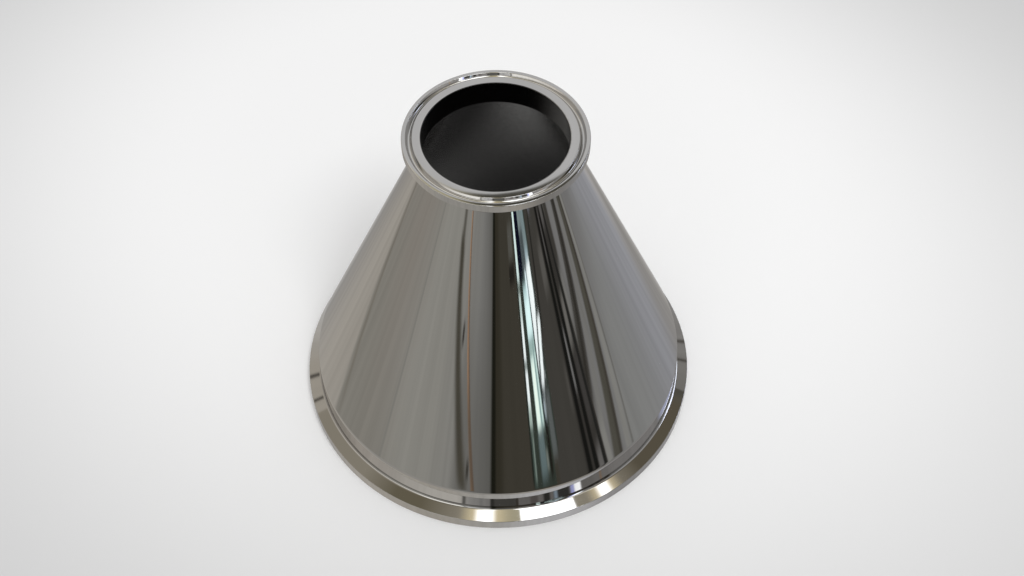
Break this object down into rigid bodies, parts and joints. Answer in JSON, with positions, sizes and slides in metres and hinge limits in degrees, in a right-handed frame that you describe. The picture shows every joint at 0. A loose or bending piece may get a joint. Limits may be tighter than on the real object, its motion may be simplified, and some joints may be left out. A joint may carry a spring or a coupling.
{
  "type": "concentric pipe reducer",
  "caption": "Polished steel concentric reducer: an open cone joins a large and a small sanitary pipe, with a grooved, bevel-backed clamp flange at each end.",
  "frame": {"origin": "centre of the large flange's face, where the fitting stands", "axes": "+Z along the passage's axis, from the large end to the small end; X and Y lie in the large flange's face and are interchangeable"},
  "size_m": [0.2174, 0.2174, 0.187],
  "materials": {
    "polished_steel": "mirror-polished stainless steel, inside and out"
  },
  "bodies": {
    "root": {"reducer_body": "polished_steel"}
  },
  "joints": []
}
